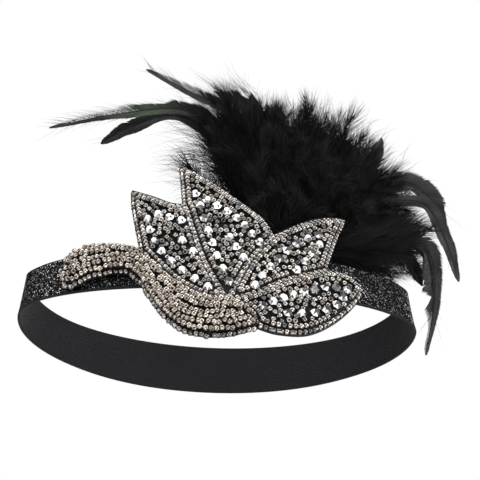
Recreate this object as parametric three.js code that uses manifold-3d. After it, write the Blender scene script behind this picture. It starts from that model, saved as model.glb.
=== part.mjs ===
// A flapper headband: a stretch ribbon ring, a beaded bird-shaped spray sewn on felt at its front,
// and behind that a plume of fluff and long cock feathers. Millimetres, +Z up, the front faces -Y,
// and the origin is the middle of the head opening, halfway up the ribbon.
import * as THREE from "three";
import { ParametricGeometry } from "three/addons/geometries/ParametricGeometry.js";
import { TessellateModifier } from "three/addons/modifiers/TessellateModifier.js";
import { mergeVertices } from "three/addons/utils/BufferGeometryUtils.js";
import Module from "manifold-3d";

const wasm = await Module();
wasm.setup();

// Driving sizes
const ribbonWidth = 25;
const ribbonThickness = 1.2;
const ringHalfWidth = 100;
const ringFrontDepth = 42;
const ringBackDepth = 80;
const ribbonSteps = 88;

const sprayWidth = 150;
const sprayHeight = 114;
const feltThickness = 1.5;
const feltMargin = 0.7;
const sewnGap = 0.3;
const bedThickness = 1.5;
const seamWidth = 0.5;
const neckCrown = 5;

const stoneWidth = 5;
const stoneHeight = 2.4;
const stoneTableWidth = 2.8;
const stoneGirdleHeight = 1.08;
const stoneSink = 0.6;

const plumeReach = 98;
const plumeRootAcross = 32;
const plumeRootUp = 24;
const plumeCurl = 34;
const plumeBendUp = 45;
const coreDepth = 14;
const coreThickness = 24;
const lockGirth = 17;
const quillBaseWidth = 32;
const quillBaseHeight = 12;
const quillBaseAboveRibbon = 11;
const quillBaseThickness = 8;

const featherWidth = 7.5;
const featherThickness = 1;
const featherGap = 0.3;

// How far the ribbon's upper edge leans inwards, by the way that the ribbon faces: 0 is the front.
const leanRows = [
  { facing: 0, lean: 16 },
  { facing: 45, lean: 16 },
  { facing: 90, lean: 7 },
  { facing: 135, lean: 0 },
  { facing: 180, lean: 16 },
];

// Lines of the spray, as shares of its width and height from the ribbon's middle at the front.
// The five seams start at the root, where the four leaves and the breast meet.
const root = [0.005, -0.205];
const neckTop = [-0.278, 0.072];
const notchLeft = [-0.145, 0.362];
const notchRight = [0.167, 0.2];
const notchLow = [0.336, 0.03];
const breastEnd = [0.096, -0.332];
const tips = {
  left: [-0.337, 0.457],
  tall: [-0.164, 0.601],
  right: [0.451, 0.375],
};
const lines = {
  seamNeck: [root, [-0.069, -0.2], [-0.161, -0.12], [-0.222, -0.024], neckTop],
  seamLeft: [root, [-0.054, -0.032], [-0.093, 0.126], [-0.131, 0.32], notchLeft],
  seamRight: [root, [0.032, -0.109], [0.088, 0.057], notchRight],
  seamLow: [root, [0.1, -0.142], [0.197, -0.058], notchLow],
  seamBreast: [root, [0.047, -0.23], [0.08, -0.277], breastEnd],
  leftOuter: [tips.left, [-0.326, 0.353], [-0.3, 0.2], neckTop],
  leftTop: [notchLeft, [-0.188, 0.368], [-0.255, 0.411], tips.left],
  tallLeft: [notchLeft, [-0.154, 0.494], tips.tall],
  tallRight: [tips.tall, [-0.105, 0.565], [0.027, 0.426], [0.127, 0.304], notchRight],
  rightTop: [notchRight, [0.268, 0.292], [0.36, 0.352], tips.right],
  rightOuter: [tips.right, [0.395, 0.23], notchLow],
  lowOuter: [notchLow, [0.41, 0.028], [0.46, -0.035], [0.42, -0.14], [0.336, -0.266], [0.25, -0.345],
    [0.16, -0.357], breastEnd],
};

// The neck and breast, from the neck's end to the breast's: its two edges at each section.
const neckRows = [
  { upper: [-0.536, 0.0], lower: [-0.536, -0.01] },
  { upper: [-0.528, 0.045], lower: [-0.524, -0.07] },
  { upper: [-0.5, 0.092], lower: [-0.495, -0.08] },
  { upper: [-0.44, 0.114], lower: [-0.44, -0.045] },
  { upper: [-0.37, 0.107], lower: [-0.37, -0.026] },
  { upper: [-0.295, 0.076], lower: [-0.309, -0.039] },
  { upper: [-0.245, 0.015], lower: [-0.27, -0.098] },
  { upper: [-0.203, -0.058], lower: [-0.233, -0.19] },
  { upper: [-0.161, -0.12], lower: [-0.19, -0.286] },
  { upper: [-0.115, -0.17], lower: [-0.14, -0.36] },
  { upper: [-0.06, -0.202], lower: [-0.075, -0.393] },
  { upper: [0.005, -0.208], lower: [0.0, -0.388] },
  { upper: [0.047, -0.23], lower: [0.048, -0.365] },
  { upper: [0.08, -0.277], lower: [0.083, -0.342] },
  { upper: [0.094, -0.325], lower: [0.094, -0.332] },
];

// Rows of cut stones: the leaf, how many, and the line that they follow.
const stoneRows = [
  { leaf: "left", count: 8, line: [[-0.267, 0.264], [-0.229, 0.104], [-0.15, -0.035], [-0.057, -0.142]] },
  { leaf: "left", count: 3, line: [[-0.231, 0.29], [-0.19, 0.268], [-0.15, 0.251]] },
  { leaf: "left", count: 2, line: [[-0.144, 0.13], [-0.107, 0.066]] },
  { leaf: "tall", count: 8, line: [[-0.103, 0.42], [-0.068, 0.248], [-0.029, 0.044], [0.009, -0.104]] },
  { leaf: "tall", count: 7, line: [[-0.063, 0.382], [0.036, 0.282], [0.114, 0.141]] },
  { leaf: "tall", count: 3, line: [[0.013, 0.159], [0.036, 0.098], [0.058, 0.042]] },
  { leaf: "right", count: 8, line: [[0.326, 0.231], [0.229, 0.139], [0.136, -0.019], [0.091, -0.117]] },
  { leaf: "right", count: 4, line: [[0.323, 0.17], [0.262, 0.046], [0.233, -0.004]] },
  { leaf: "low", count: 9, line: [[0.113, -0.232], [0.22, -0.146], [0.337, -0.082], [0.399, -0.078]] },
  { leaf: "low", count: 6, line: [[0.19, -0.263], [0.269, -0.245], [0.339, -0.194], [0.379, -0.13]] },
];

// How far the fluff reaches from its root, by angle from straight right, as shares of its reach.
const reachRows = [
  { angle: -10, reach: 0.5 },
  { angle: 4, reach: 0.7 },
  { angle: 15, reach: 0.83 },
  { angle: 38, reach: 1.08 },
  { angle: 56, reach: 1.05 },
  { angle: 72, reach: 1.01 },
  { angle: 88, reach: 0.92 },
  { angle: 105, reach: 1.01 },
  { angle: 118, reach: 0.95 },
  { angle: 128, reach: 0.66 },
  { angle: 145, reach: 0.4 },
];

// Layers of locks in the fluff, from front to back. Depths are shares of the core's thickness.
const lockRows = [
  { count: 3, from: 3, to: 15, reach: 1.0, girth: 0.7, middleDepth: 0.12, tipDepth: -0.3 },
  { count: 6, from: 18, to: 108, reach: 0.76, girth: 1.0, middleDepth: 0.46, tipDepth: 0.4 },
  { count: 13, from: 12, to: 127, reach: 1.02, girth: 1.0, middleDepth: 0.55, tipDepth: 0.4 },
  { count: 8, from: 14, to: 118, reach: 0.94, girth: 1.1, middleDepth: 0.9, tipDepth: 0.9 },
  { count: 5, from: 26, to: 120, reach: 0.8, girth: 1.1, middleDepth: 1.1, tipDepth: 1.3 },
];

// Long feathers: four stations out from the plume's root, with the angle from straight right, the
// reach as a share of the fluff's, and the depth behind the spray as a share of the core's thickness.
// A blade is widest further out where late is more than 1, and blunter where its power is less.
const featherRows = [
  { width: 1.0, late: 1.0, power: 0.75, angles: [95, 109, 120, 126.5], reaches: [0.6, 0.89, 1.1, 1.33],
    depths: [0.42, 0.33, 0.25, 0.25] },
  { width: 1.2, late: 1.0, power: 0.75, angles: [104, 121, 138, 149.5], reaches: [0.62, 1.0, 1.27, 1.585],
    depths: [0.62, 0.55, 0.4, 0.25] },
  { width: 1.15, late: 1.7, power: 0.9, angles: [108, 126, 138, 146.5], reaches: [0.66, 1.05, 1.19, 1.295],
    depths: [0.9, 0.75, 0.65, 0.6] },
  { width: 1.6, late: 1.0, power: 0.6, angles: [80, 92, 103, 112], reaches: [0.66, 0.84, 0.95, 1.05],
    depths: [0.9, 0.75, 0.65, 0.6] },
  { width: 1.7, late: 0.9, power: 0.65, angles: [43, 37.5, 30.5, 22], reaches: [0.76, 1.03, 1.085, 1.09],
    depths: [0.62, 0.35, 0.1, 0.0] },
  { width: 1.1, late: 1.2, power: 0.75, angles: [40, 29, 14, -3.5], reaches: [0.68, 1.015, 0.98, 0.965],
    depths: [0.42, 0.1, -0.12, -0.1] },
  { width: 1.5, late: 0.7, power: 0.75, angles: [28, 13.5, -11, -38.5], reaches: [0.64, 0.87, 0.835, 0.915],
    depths: [0.4, 0.16, 0.1, 0.3] },
  { width: 0.9, late: 1.3, power: 0.55, angles: [27, 16, 6, -2], reaches: [0.6, 0.78, 0.81, 0.83],
    depths: [0.75, 0.5, 0.42, 0.42] },
  { width: 1.1, late: 1.0, power: 0.6, angles: [44, 47, 49, 51], reaches: [0.72, 0.94, 1.05, 1.145],
    depths: [0.9, 0.9, 0.85, 0.8] },
];

const bandFace = ribbonThickness / 2;
const feltBack = bandFace + sewnGap;
const feltFace = feltBack + feltThickness;
const bedBack = feltFace + sewnGap;
const bedFace = bedBack + bedThickness;
const up = new THREE.Vector3(0, 0, 1);

// Value of a table's column at a place between two of its rows, eased from one row to the next.
function between(rows, key, column, place) {
  const after = Math.max(1, rows.findIndex((row) => row[key] >= place));
  const high = place > rows.at(-1)[key] ? rows.length - 1 : after;
  const share = (place - rows[high - 1][key]) / (rows[high][key] - rows[high - 1][key]);
  const eased = THREE.MathUtils.smoothstep(share, 0, 1);
  return THREE.MathUtils.lerp(rows[high - 1][column], rows[high][column], eased);
}

// The ring's middle line: two half ellipses, with the front at parameter 0.5.
class RingLine extends THREE.Curve {
  getPoint(share, target = new THREE.Vector3()) {
    const turn = (share - 0.5) * 2 * Math.PI;
    const depth = Math.cos(turn) > 0 ? ringFrontDepth : ringBackDepth;
    return target.set(ringHalfWidth * Math.sin(turn), -depth * Math.cos(turn), 0);
  }
}
const ringLine = new RingLine();
ringLine.arcLengthDivisions = 720;

// A point of the ring by parameter, with the way out and the way up along the leaning ribbon.
function ringFrame(share) {
  const centre = ringLine.getPoint(share);
  const depth = centre.y < 0 ? ringFrontDepth : ringBackDepth;
  const normal = new THREE.Vector3(centre.x / ringHalfWidth ** 2, centre.y / depth ** 2, 0).normalize();
  const facing = THREE.MathUtils.radToDeg(Math.atan2(Math.abs(normal.x), -normal.y));
  const lean = THREE.MathUtils.degToRad(between(leanRows, "facing", "lean", facing));
  const rise = up.clone().multiplyScalar(Math.cos(lean)).addScaledVector(normal, -Math.sin(lean));
  const out = normal.clone().multiplyScalar(Math.cos(lean)).addScaledVector(up, Math.sin(lean));
  return { centre, rise, out };
}

function onRing(share, height, outward) {
  const { centre, rise, out } = ringFrame(share);
  return centre.addScaledVector(rise, height).addScaledVector(out, outward);
}

// A point of the spray: along the ribbon from the middle of the front, up it, and out from it.
function onSpray(along, height, outward) {
  const share = ringLine.getUtoTmapping(0.5 + along / ringLine.getLength());
  return onRing(share, height, outward);
}

// A point of the plume's sheet, which leans with the ribbon and then curls forward.
const plumeRound = ringHalfWidth ** 2 / ringFrontDepth;
const plumeLean = THREE.MathUtils.degToRad(leanRows[0].lean);
const curlRate = THREE.MathUtils.degToRad(plumeCurl) / (plumeRootUp + plumeReach - plumeBendUp);
function onPlume(across, height, outward) {
  const normal = new THREE.Vector3(across / plumeRound, -1, 0).normalize();
  const straight = Math.min(height, plumeBendUp);
  const lean = plumeLean - curlRate * (height - straight);
  const inward = straight * Math.sin(plumeLean) + (Math.cos(lean) - Math.cos(plumeLean)) / curlRate;
  const rise = straight * Math.cos(plumeLean) + (Math.sin(plumeLean) - Math.sin(lean)) / curlRate;
  const point = new THREE.Vector3(across, across ** 2 / plumeRound / 2 - ringFrontDepth, rise);
  point.addScaledVector(normal, Math.cos(lean) * outward - inward);
  return point.addScaledVector(up, Math.sin(lean) * outward);
}

// The same by angle from straight right and distance from the plume's root.
function fromRoot(angle, reach, outward) {
  const turn = THREE.MathUtils.degToRad(angle);
  const across = plumeRootAcross + reach * Math.cos(turn);
  return onPlume(across, plumeRootUp + reach * Math.sin(turn), outward);
}

// A closed geometry as a solid that faces out.
function solid(geometry) {
  const bare = geometry.index ? geometry.toNonIndexed() : geometry.clone();
  for (const name of Object.keys(bare.attributes)) {
    if (name !== "position") bare.deleteAttribute(name);
  }
  const merged = mergeVertices(bare, 1e-3);
  const corners = [];
  for (let i = 0; i < merged.index.count; i += 3) {
    const face = [0, 1, 2].map((k) => merged.index.getX(i + k));
    if (new Set(face).size === 3) corners.push(...face);
  }
  const vertProperties = merged.attributes.position.array;
  const make = (triVerts) => new wasm.Manifold(new wasm.Mesh({ numProp: 3, vertProperties, triVerts }));
  const made = make(new Uint32Array(corners));
  return made.volume() > 0 ? made : make(new Uint32Array(corners.reverse()));
}

function joined(solids) {
  return solids.reduce((whole, next) => whole.add(next));
}

function geometryOf(made) {
  const { vertProperties, triVerts } = made.getMesh();
  const geometry = new THREE.BufferGeometry();
  geometry.setAttribute("position", new THREE.BufferAttribute(vertProperties, 3));
  geometry.setIndex(new THREE.BufferAttribute(triVerts, 1));
  geometry.computeVertexNormals();
  return geometry;
}

// Points along a smooth line of the spray, in millimetres along and up the ribbon.
function sprayLine(points, steps = 2) {
  const places = points.map(([along, height]) =>
    new THREE.Vector2(along * sprayWidth, height * sprayHeight));
  return new THREE.SplineCurve(places).getPoints((places.length - 1) * steps);
}

function outlineOf(...parts) {
  const points = parts.flatMap((part) => part.slice(0, -1));
  return THREE.ShapeUtils.area(points) > 0 ? points : points.reverse();
}

// An outline that runs anticlockwise, moved outwards by a distance, or inwards by a negative one.
function grown(outline, distance) {
  const sharpest = distance > 0 ? 0.5 : 0.1;
  return outline.map((point, i) => {
    const before = outline.at(i - 1);
    const after = outline[(i + 1) % outline.length];
    const arriving = point.clone().sub(before).normalize();
    const leaving = after.clone().sub(point).normalize();
    const side = arriving.clone().add(leaving).normalize();
    const stretch = Math.max(side.dot(leaving), sharpest);
    return new THREE.Vector2(side.y, -side.x).multiplyScalar(distance / stretch).add(point);
  });
}

// A flat plate of this outline between two distances from the ribbon's middle, bent to the ribbon.
function bentPlate(outline, from, to) {
  const longestEdge = 13;
  const flat = new THREE.ExtrudeGeometry(new THREE.Shape(outline), { depth: to - from, bevelEnabled: false });
  const fine = new TessellateModifier(longestEdge, 9).modify(flat);
  const position = fine.attributes.position;
  for (let i = 0; i < position.count; i++) {
    const place = onSpray(position.getX(i), position.getY(i), from + position.getZ(i));
    position.setXYZ(i, place.x, place.y, place.z);
  }
  return solid(fine);
}

function elasticBand() {
  const corners = [[-1, -1], [-1, 1], [1, 1], [1, -1]];
  const section = (u, v, target) => {
    const [edge, face] = corners[Math.round(v * 4) % 4];
    target.copy(onRing(u, edge * ribbonWidth / 2, face * ribbonThickness / 2));
  };
  return solid(new ParametricGeometry(section, ribbonSteps, 4));
}

const edge = Object.fromEntries(Object.entries(lines).map(([name, points]) => [name, sprayLine(points)]));
const back = (points) => points.toReversed();
const leaves = {
  left: outlineOf(edge.seamLeft, edge.leftTop, edge.leftOuter, back(edge.seamNeck)),
  tall: outlineOf(edge.seamLeft, edge.tallLeft, edge.tallRight, back(edge.seamRight)),
  right: outlineOf(edge.seamRight, edge.rightTop, edge.rightOuter, back(edge.seamLow)),
  low: outlineOf(edge.seamLow, edge.lowOuter, back(edge.seamBreast)),
};
const neckUpper = sprayLine(neckRows.map((row) => row.upper), 2);
const neckLower = sprayLine(neckRows.map((row) => row.lower), 2);

function feltBacking() {
  const overNeck = neckUpper.filter((point) => point.x < neckTop[0] * sprayWidth);
  const outline = outlineOf(back(neckLower), overNeck, back(edge.leftOuter), back(edge.leftTop),
    edge.tallLeft, edge.tallRight, edge.rightTop, edge.rightOuter, edge.lowOuter);
  return bentPlate(grown(outline, feltMargin), feltBack, feltFace);
}

// A padded roll with a flat back, highest halfway between its edges. Each end closes at a point.
function beadedNeck() {
  const rounds = 6;
  const last = neckUpper.length - 1;
  const widths = neckUpper.map((point, i) => point.distanceTo(neckLower[i]));
  const widest = Math.max(...widths);
  const section = (u, v, target) => {
    const i = THREE.MathUtils.clamp(Math.round(u * last), 0, last);
    const atEnd = i === 0 || i === last;
    const turn = Math.PI * (Math.round(v * (rounds + 1)) % (rounds + 1)) / rounds;
    const inset = atEnd ? 0.5 : Math.min(seamWidth / widths[i] / 2, 0.5);
    const share = THREE.MathUtils.lerp(inset, 1 - inset, (1 - Math.cos(turn)) / 2);
    const place = neckUpper[i].clone().lerp(neckLower[i], share);
    const height = atEnd ? 0 : neckCrown * Math.sin(turn) * Math.sqrt(widths[i] / widest);
    target.copy(onSpray(place.x, place.y, bedBack + height));
  };
  return solid(new ParametricGeometry(section, last, rounds + 1));
}

// A cut stone with a table, eight crown facets and a straight foot, sunk a little in its bed.
function stoneAt(place) {
  const sides = 8;
  const foot = -stoneSink;
  const profile = [[0, foot], [stoneWidth / 2, foot], [stoneWidth / 2, stoneGirdleHeight],
    [stoneTableWidth / 2, stoneHeight], [0, stoneHeight]];
  const stone = new THREE.LatheGeometry(profile.map(([x, y]) => new THREE.Vector2(x, y)), sides);
  stone.rotateX(Math.PI / 2);
  const seat = onSpray(place.x, place.y, bedFace);
  const out = onSpray(place.x, place.y, bedFace + 1).sub(seat);
  stone.applyQuaternion(new THREE.Quaternion().setFromUnitVectors(up, out.normalize()));
  stone.translate(seat.x, seat.y, seat.z);
  return solid(stone);
}

function beadedLeaf(name) {
  const bed = bentPlate(grown(leaves[name], -seamWidth / 2), bedBack, bedFace);
  const stones = stoneRows.filter((row) => row.leaf === name).flatMap((row) => {
    const line = new THREE.SplineCurve(sprayLine(row.line));
    return line.getSpacedPoints(row.count - 1).map(stoneAt);
  });
  return joined([bed, ...stones]);
}

// A body along a line, closed at a point at each end: its width and thickness follow the given
// functions of the share along.
function taperedSweep(line, steps, sides, width, thickness) {
  const section = (u, v, target) => {
    const share = THREE.MathUtils.clamp(u, 0, 1);
    const tangent = line.getTangent(share);
    const depthWay = new THREE.Vector3(0, -1, 0).projectOnPlane(tangent).normalize();
    const sideWay = tangent.clone().cross(depthWay);
    const turn = 2 * Math.PI * (Math.round(v * sides) % sides) / sides;
    const open = share > 0 && share < 1 ? 0.5 : 0;
    target.copy(line.getPoint(share));
    target.addScaledVector(sideWay, open * Math.cos(turn) * width(share));
    target.addScaledVector(depthWay, open * Math.sin(turn) * thickness(share));
  };
  return solid(new ParametricGeometry(section, steps, sides));
}

// A blade that is thickest along its middle; extra is a clearance all round it.
function feather(row, extra) {
  const stations = row.angles.map((angle, i) =>
    fromRoot(angle, row.reaches[i] * plumeReach, -row.depths[i] * coreThickness));
  const ways = [stations[0].clone().sub(stations[1]), stations[3].clone().sub(stations[2])];
  stations[0].addScaledVector(ways[0].normalize(), extra);
  stations[3].addScaledVector(ways[1].normalize(), extra);
  const rootPhase = 0.1;
  const phase = (share) => THREE.MathUtils.lerp(rootPhase, 1, share ** row.late);
  const blade = (share) => Math.max(Math.sin(Math.PI * phase(share)), 0) ** row.power;
  const width = (share) => (featherWidth * row.width + 2 * extra) * blade(share);
  const thickness = (share) => (featherThickness + 2 * extra) * Math.min(blade(share) * 2, 1);
  return taperedSweep(new THREE.CatmullRomCurve3(stations), 10, 6, width, thickness);
}

// The tied quill ends behind the felt, above the ribbon's upper edge.
function quillBase() {
  const middleUp = (ribbonWidth + quillBaseHeight) / 2 + quillBaseAboveRibbon;
  const outline = new THREE.Shape().absellipse(plumeRootAcross, middleUp, quillBaseWidth / 2,
    quillBaseHeight / 2, 0, 2 * Math.PI).getPoints(4);
  return bentPlate(outline.slice(0, -1), bandFace - quillBaseThickness, bandFace);
}

function fluffCore() {
  const ball = new THREE.SphereGeometry(1, 14, 10);
  ball.rotateX(Math.PI / 2);
  const position = ball.attributes.position;
  const middleAngle = 62;
  const halfSpread = 56;
  const middleReach = 0.36;
  const halfReach = 0.3;
  for (let i = 0; i < position.count; i++) {
    const angle = middleAngle + halfSpread * position.getX(i);
    const edgeReach = between(reachRows, "angle", "reach", angle);
    const reach = plumeReach * edgeReach * (middleReach + halfReach * position.getY(i));
    const depth = coreDepth - coreThickness / 2 * position.getZ(i);
    const place = fromRoot(angle, reach, -depth);
    position.setXYZ(i, place.x, place.y, place.z);
  }
  return solid(ball);
}

// A tapered lock that sways a little to one side, fullest just past its middle. Every second lock
// ends short, which leaves the fluff's edge ragged.
function fluffLock(row, i) {
  const angle = THREE.MathUtils.lerp(row.from, row.to, i / (row.count - 1));
  const sway = 5 * Math.sin(2.4 * i + 7 * row.reach);
  const reach = plumeReach * row.reach * between(reachRows, "angle", "reach", angle);
  const tipReach = i % 2 === 0 ? 1 : 0.95;
  const stations = [
    fromRoot(angle, reach * 0.1, -quillBaseThickness * 0.75),
    fromRoot(angle + sway, reach * 0.6, -coreThickness * row.middleDepth),
    fromRoot(angle, reach * tipReach, -coreThickness * row.tipDepth),
  ];
  const fullestPast = 1.3;
  const roundness = 0.6;
  const girth = (along) => lockGirth * row.girth * Math.sin(Math.PI * along ** fullestPast) ** roundness;
  return taperedSweep(new THREE.CatmullRomCurve3(stations), 4, 5, girth, girth);
}

function fluffPlume(slots) {
  const locks = lockRows.flatMap((row) => Array.from({ length: row.count }, (_, i) => fluffLock(row, i)));
  const whole = joined([fluffCore(), quillBase(), ...locks]);
  const bodies = slots.reduce((left, slot) => left.subtract(slot), whole).decompose();
  return bodies.sort((one, other) => other.volume() - one.volume())[0];
}

const finishes = {
  ribbon: { color: 0x1c1c1f, roughness: 0.8, metalness: 0 },
  felt: { color: 0x0e0e10, roughness: 0.95, metalness: 0 },
  beads: { color: 0xa79f96, roughness: 0.3, metalness: 0.8 },
  stones: { color: 0x8c8c92, roughness: 0.15, metalness: 0.9 },
  fluff: { color: 0x111112, roughness: 0.95, metalness: 0 },
  feathers: { color: 0x14171a, roughness: 0.5, metalness: 0 },
};

const headband = new THREE.Group();
function addPiece(name, made, finish) {
  const material = new THREE.MeshStandardMaterial({ ...finishes[finish], flatShading: true });
  const piece = new THREE.Mesh(geometryOf(made), material);
  piece.name = name;
  headband.add(piece);
}

addPiece("elastic_band", elasticBand(), "ribbon");
addPiece("felt_backing", feltBacking(), "felt");
addPiece("beaded_neck", beadedNeck(), "beads");
for (const name of Object.keys(leaves)) {
  addPiece(`beaded_leaf_${name}`, beadedLeaf(name), "stones");
}
featherRows.forEach((row, i) => addPiece(`coque_feather_${i + 1}`, feather(row, 0), "feathers"));
addPiece("fluff_plume", fluffPlume(featherRows.map((row) => feather(row, featherGap))), "fluff");

export default headband;
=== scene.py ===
import bpy
import bmesh
import math
import numpy as np
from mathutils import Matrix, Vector


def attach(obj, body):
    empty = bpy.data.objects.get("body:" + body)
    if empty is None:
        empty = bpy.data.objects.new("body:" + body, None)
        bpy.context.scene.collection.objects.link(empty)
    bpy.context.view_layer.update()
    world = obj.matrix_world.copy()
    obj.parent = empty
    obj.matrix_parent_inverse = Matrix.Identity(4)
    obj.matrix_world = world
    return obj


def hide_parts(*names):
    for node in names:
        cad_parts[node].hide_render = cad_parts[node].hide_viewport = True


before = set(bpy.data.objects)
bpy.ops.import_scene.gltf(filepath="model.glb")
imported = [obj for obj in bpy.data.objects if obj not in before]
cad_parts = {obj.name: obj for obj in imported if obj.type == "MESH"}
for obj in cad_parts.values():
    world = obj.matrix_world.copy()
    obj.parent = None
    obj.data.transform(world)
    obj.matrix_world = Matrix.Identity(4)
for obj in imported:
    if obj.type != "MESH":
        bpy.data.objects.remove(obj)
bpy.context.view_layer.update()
print("frame loaded")

# Sizes and lines of the part, in millimetres, as its source has them.
band = {"width": 25, "thickness": 1.2, "halfWidth": 100, "frontDepth": 42, "backDepth": 80,
        "facings": [0, 45, 90, 135, 180], "leans": [16, 16, 7, 0, 16]}
spray = {"width": 150, "height": 114, "feltMargin": 0.7, "feltBack": 0.9, "feltFace": 2.4,
         "bedBack": 2.7, "bedFace": 4.2, "seam": 0.5, "crown": 5}
plume = {"reach": 98, "across": 32, "up": 24, "curl": 34, "bendUp": 45, "coreThickness": 24,
         "quillDepth": 6}

root = [0.005, -0.205]
neckTop = [-0.278, 0.072]
notchLeft = [-0.145, 0.362]
notchRight = [0.167, 0.2]
notchLow = [0.336, 0.03]
breastEnd = [0.096, -0.332]
tipLeft = [-0.337, 0.457]
tipTall = [-0.164, 0.601]
tipRight = [0.451, 0.375]
lines = {
    "seamNeck": [root, [-0.069, -0.2], [-0.161, -0.12], [-0.222, -0.024], neckTop],
    "seamLeft": [root, [-0.054, -0.032], [-0.093, 0.126], [-0.131, 0.32], notchLeft],
    "seamRight": [root, [0.032, -0.109], [0.088, 0.057], notchRight],
    "seamLow": [root, [0.1, -0.142], [0.197, -0.058], notchLow],
    "seamBreast": [root, [0.047, -0.23], [0.08, -0.277], breastEnd],
    "leftOuter": [tipLeft, [-0.326, 0.353], [-0.3, 0.2], neckTop],
    "leftTop": [notchLeft, [-0.188, 0.368], [-0.255, 0.411], tipLeft],
    "tallLeft": [notchLeft, [-0.154, 0.494], tipTall],
    "tallRight": [tipTall, [-0.105, 0.565], [0.027, 0.426], [0.127, 0.304], notchRight],
    "rightTop": [notchRight, [0.268, 0.292], [0.36, 0.352], tipRight],
    "rightOuter": [tipRight, [0.395, 0.23], notchLow],
    "lowOuter": [notchLow, [0.41, 0.028], [0.46, -0.035], [0.42, -0.14], [0.336, -0.266],
                 [0.25, -0.345], [0.16, -0.357], breastEnd],
}
neckUpper = [[-0.536, 0], [-0.528, 0.045], [-0.5, 0.092], [-0.44, 0.114], [-0.37, 0.107], [-0.295, 0.076],
             [-0.245, 0.015], [-0.203, -0.058], [-0.161, -0.12], [-0.115, -0.17], [-0.06, -0.202],
             [0.005, -0.208], [0.047, -0.23], [0.08, -0.277], [0.094, -0.325]]
neckLower = [[-0.536, -0.01], [-0.524, -0.07], [-0.495, -0.08], [-0.44, -0.045], [-0.37, -0.026],
             [-0.309, -0.039], [-0.27, -0.098], [-0.233, -0.19], [-0.19, -0.286], [-0.14, -0.36],
             [-0.075, -0.393], [0, -0.388], [0.048, -0.365], [0.083, -0.342], [0.094, -0.332]]
stoneRows = [
    {"leaf": "left", "count": 8, "line": [[-0.267, 0.264], [-0.229, 0.104], [-0.15, -0.035], [-0.057, -0.142]]},
    {"leaf": "left", "count": 3, "line": [[-0.231, 0.29], [-0.19, 0.268], [-0.15, 0.251]]},
    {"leaf": "left", "count": 2, "line": [[-0.144, 0.13], [-0.107, 0.066]]},
    {"leaf": "tall", "count": 8, "line": [[-0.103, 0.42], [-0.068, 0.248], [-0.029, 0.044], [0.009, -0.104]]},
    {"leaf": "tall", "count": 7, "line": [[-0.063, 0.382], [0.036, 0.282], [0.114, 0.141]]},
    {"leaf": "tall", "count": 3, "line": [[0.013, 0.159], [0.036, 0.098], [0.058, 0.042]]},
    {"leaf": "right", "count": 8, "line": [[0.326, 0.231], [0.229, 0.139], [0.136, -0.019], [0.091, -0.117]]},
    {"leaf": "right", "count": 4, "line": [[0.323, 0.17], [0.262, 0.046], [0.233, -0.004]]},
    {"leaf": "low", "count": 9, "line": [[0.113, -0.232], [0.22, -0.146], [0.337, -0.082], [0.399, -0.078]]},
    {"leaf": "low", "count": 6, "line": [[0.19, -0.263], [0.269, -0.245], [0.339, -0.194], [0.379, -0.13]]},
]


# Places on the ribbon, the spray and the plume. Each takes arrays in millimetres and gives metres.
def unit(vectors):
    return vectors / np.linalg.norm(vectors, axis=-1, keepdims=True)


def eased(place, stops, values):
    stops, values = np.array(stops, float), np.array(values, float)
    after = np.clip(np.searchsorted(stops, place), 1, len(stops) - 1)
    share = np.clip((place - stops[after - 1]) / (stops[after] - stops[after - 1]), 0, 1)
    share = share * share * (3 - 2 * share)
    return values[after - 1] + (values[after] - values[after - 1]) * share


def ringCentre(share):
    turn = (np.asarray(share, float) - 0.5) * 2 * np.pi
    depth = np.where(np.cos(turn) > 0, band["frontDepth"], band["backDepth"])
    return np.stack([band["halfWidth"] * np.sin(turn), -depth * np.cos(turn), 0 * turn], -1)


ringShares = np.linspace(0, 1, 7201)
ringArc = np.append(0, np.cumsum(np.linalg.norm(np.diff(ringCentre(ringShares), axis=0), axis=1)))


def onRing(share, height, outward):
    centre = ringCentre(share)
    depth = np.where(centre[..., 1] < 0, band["frontDepth"], band["backDepth"])
    normal = np.stack([centre[..., 0] / band["halfWidth"] ** 2, centre[..., 1] / depth ** 2, 0 * depth], -1)
    normal = unit(normal)
    facing = np.degrees(np.arctan2(np.abs(normal[..., 0]), -normal[..., 1]))
    lean = np.radians(eased(facing, band["facings"], band["leans"]))[..., None]
    up = np.array([0, 0, 1.0])
    rise = up * np.cos(lean) - normal * np.sin(lean)
    out = normal * np.cos(lean) + up * np.sin(lean)
    place = centre + rise * np.asarray(height)[..., None] + out * np.asarray(outward)[..., None]
    return place / 1000


def onSpray(along, height, outward):
    share = np.interp(ringArc[-1] / 2 + np.asarray(along, float), ringArc, ringShares)
    return onRing(share, np.asarray(height, float), np.asarray(outward, float) + 0 * share)


def onPlume(across, height, outward):
    across, height, outward = (np.asarray(value, float) for value in (across, height, outward))
    roundness = band["halfWidth"] ** 2 / band["frontDepth"]
    startLean = math.radians(band["leans"][0])
    curlRate = math.radians(plume["curl"]) / (plume["up"] + plume["reach"] - plume["bendUp"])
    normal = unit(np.stack([across / roundness, -1 + 0 * across, 0 * across], -1))
    straight = np.minimum(height, plume["bendUp"])
    lean = startLean - curlRate * (height - straight)
    inward = straight * math.sin(startLean) + (np.cos(lean) - math.cos(startLean)) / curlRate
    rise = straight * math.cos(startLean) + (math.sin(startLean) - np.sin(lean)) / curlRate
    place = np.stack([across, across ** 2 / roundness / 2 - band["frontDepth"], rise], -1)
    place = place + normal * (np.cos(lean) * outward - inward)[..., None]
    return (place + np.array([0, 0, 1.0]) * (np.sin(lean) * outward)[..., None]) / 1000


def fromRoot(angle, reach, outward):
    turn = np.radians(angle)
    return onPlume(plume["across"] + reach * np.cos(turn), plume["up"] + reach * np.sin(turn), outward)


def sprayLine(points, steps=16):
    points = np.array(points, float) * [spray["width"], spray["height"]]
    return throughPoints(points, steps)


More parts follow.
